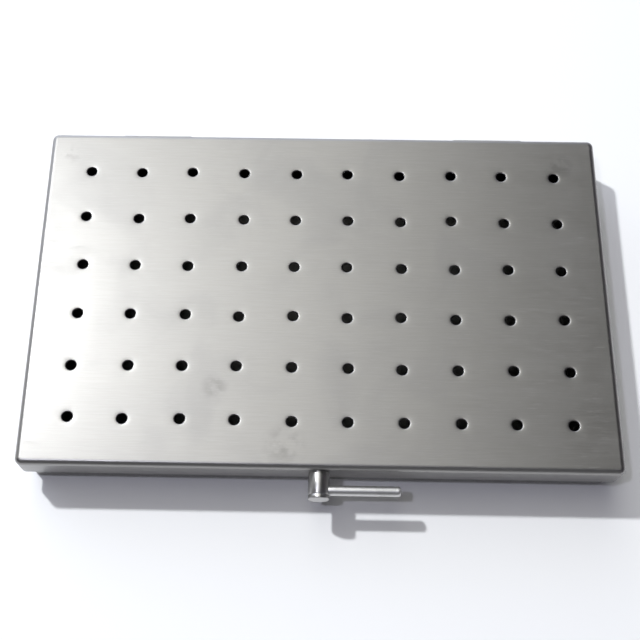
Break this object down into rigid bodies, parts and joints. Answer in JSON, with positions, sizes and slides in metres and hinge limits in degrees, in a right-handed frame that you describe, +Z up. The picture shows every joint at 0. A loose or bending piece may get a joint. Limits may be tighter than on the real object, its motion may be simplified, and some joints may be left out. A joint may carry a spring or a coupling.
{
  "type": "dental instrument cassette",
  "caption": "Flat perforated steel cassette: telescoping lid hinged at the back, turning bar latch in front, notched silicone instrument rails and padded hold-down bars inside.",
  "frame": {"origin": "centre of the tray's flat underside", "axes": "+Z up out of the lid, +X along the long side to the right, -Y out of the front where the latch is"},
  "size_m": [0.204, 0.1412, 0.022],
  "materials": {
    "lid_steel": "satin stainless sheet with fine scratches",
    "tray_steel": "satin stainless sheet",
    "hinge_steel": "satin stainless sheet, bent and rolled",
    "latch_steel": "turned and polished stainless",
    "rail_steel": "satin stainless channel",
    "silicone": "matt moulded silicone"
  },
  "bodies": {
    "tray": {"base_tray": "tray_steel", "hinge_leaf_tray_left": "hinge_steel", "hinge_leaf_tray_right": "hinge_steel", "hinge_pin_left": "latch_steel", "hinge_pin_right": "latch_steel", "latch_keeper": "hinge_steel", "instrument_rail_left": "rail_steel", "instrument_rail_right": "rail_steel", "rail_insert_left": "silicone", "rail_insert_right": "silicone"},
    "lid": {"lid": "lid_steel", "hinge_leaf_lid_left": "hinge_steel", "hinge_leaf_lid_right": "hinge_steel", "latch_bush": "latch_steel", "hold_down_bar_left": "rail_steel", "hold_down_bar_right": "rail_steel", "hold_down_pad_left": "silicone", "hold_down_pad_right": "silicone"},
    "latch": {"latch_barrel": "latch_steel", "latch_lever": "latch_steel", "latch_spring_washer": "latch_steel", "latch_cam": "hinge_steel", "latch_screw": "latch_steel"}
  },
  "joints": [
    {"name": "lid_hinge", "type": "hinge", "parent": "tray", "child": "lid", "pos_m": [0, 0.06605, 0.0102], "axis": [-1, 0, 0], "range_deg": [0, 150]},
    {"name": "latch_turn", "type": "hinge", "parent": "lid", "child": "latch", "pos_m": [0, -0.064, 0.0164], "axis": [0, -1, 0], "range_deg": [0, 180]}
  ]
}
